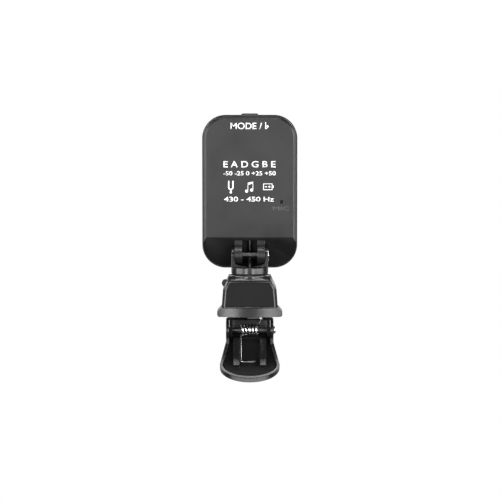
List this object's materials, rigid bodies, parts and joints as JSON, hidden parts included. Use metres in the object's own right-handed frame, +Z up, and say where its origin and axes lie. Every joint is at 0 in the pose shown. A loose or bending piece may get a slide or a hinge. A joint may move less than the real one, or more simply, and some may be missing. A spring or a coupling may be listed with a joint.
{
  "type": "clip-on instrument tuner",
  "caption": "Clip-on tuner: a flat rounded display head on a tilt-and-swivel neck, carried by a sprung jaw clip with rubber pads.",
  "frame": {"origin": "middle of the jaws' grip, in the plane where the closed rubber pads meet", "axes": "+Z up through the clip, neck and head; +Y out of the jaws, the way the display faces; the head's rear faces -Y; +X across the jaws"},
  "size_m": [0.0386, 0.0433, 0.1076],
  "materials": {
    "clip_plastic": "semi-gloss moulded black plastic",
    "cover_plastic": "fine matt black plastic",
    "pad_rubber": "matt rubber",
    "board": "solder-masked laminate",
    "plated_metal": "plated, satin",
    "brass": "satin",
    "spring_steel": "bright drawn wire",
    "pin_steel": "nickel plated, bright",
    "white_plastic": "matt",
    "screw_nickel": "nickel plated",
    "lead_sleeve": "vinyl sleeve",
    "rear_plastic": "fine satin texture, dark grey",
    "front_plastic": "polished black",
    "window": "polished smoked acrylic",
    "lcd_glass": "grey liquid crystal glass",
    "guide_plastic": "frosted clear",
    "chip_black": "moulded epoxy",
    "button_plastic": "satin grey-black",
    "cell_steel": "spun steel"
  },
  "bodies": {
    "clip_upper": {"upper_arm": "clip_plastic", "block_cover": "cover_plastic", "upper_pad": "pad_rubber", "switch_board": "board", "auto_on_switch": "plated_metal", "piezo_disc": "brass", "torsion_spring": "spring_steel"},
    "clip_lower": {"lower_arm": "clip_plastic", "lower_pad": "pad_rubber", "pivot_pin": "pin_steel"},
    "plunger": {"switch_plunger": "white_plastic"},
    "swivel": {"yoke": "clip_plastic", "bearing_disc": "cover_plastic", "wave_washer": "spring_steel", "swivel_circlip": "spring_steel", "tilt_screw": "screw_nickel", "hinge_insert": "brass", "signal_lead": "lead_sleeve"},
    "head": {"rear_shell": "rear_plastic", "front_shell": "front_plastic", "display_window": "window", "lcd_panel": "lcd_glass", "light_guide": "guide_plastic", "lcd_frame": "white_plastic", "circuit_board": "board", "board_chips": "chip_black", "board_screws": "screw_nickel", "mode_switch": "plated_metal", "coin_cell": "cell_steel", "battery_contact_upper": "brass", "battery_contact_lower": "brass", "mic_capsule": "pad_rubber"},
    "button": {"mode_button": "button_plastic"}
  },
  "joints": [
    {"name": "jaw_hinge", "type": "hinge", "parent": "clip_upper", "child": "clip_lower", "pos_m": [0, -0.02, 0], "axis": [-1, 0, 0], "range_deg": [0, 40], "stiffness_Nm_per_rad": 0.08, "springref_deg": -68.75, "deforming": ["torsion_spring"]},
    {"name": "plunger_slide", "type": "slide", "parent": "clip_upper", "child": "plunger", "axis": [0, 0, -1], "range_m": [0, 0.001]},
    {"name": "swivel_turn", "type": "hinge", "parent": "clip_upper", "child": "swivel", "pos_m": [0, -0.024, 0.0243], "axis": [0, 0, 1], "range_deg": [-170, 170]},
    {"name": "head_tilt", "type": "hinge", "parent": "swivel", "child": "head", "pos_m": [0, -0.024, 0.0308], "axis": [1, 0, 0], "range_deg": [0, 95], "deforming": ["signal_lead"]},
    {"name": "mode_press", "type": "slide", "parent": "head", "child": "button", "axis": [0, 0, -1], "range_m": [0, 0.00035], "stiffness_N_per_m": 2500, "springref_m": -0.0003}
  ],
  "couplings": [
    {"joint": "plunger_slide", "follows": "jaw_hinge", "m_per_rad": 0.001432}
  ]
}
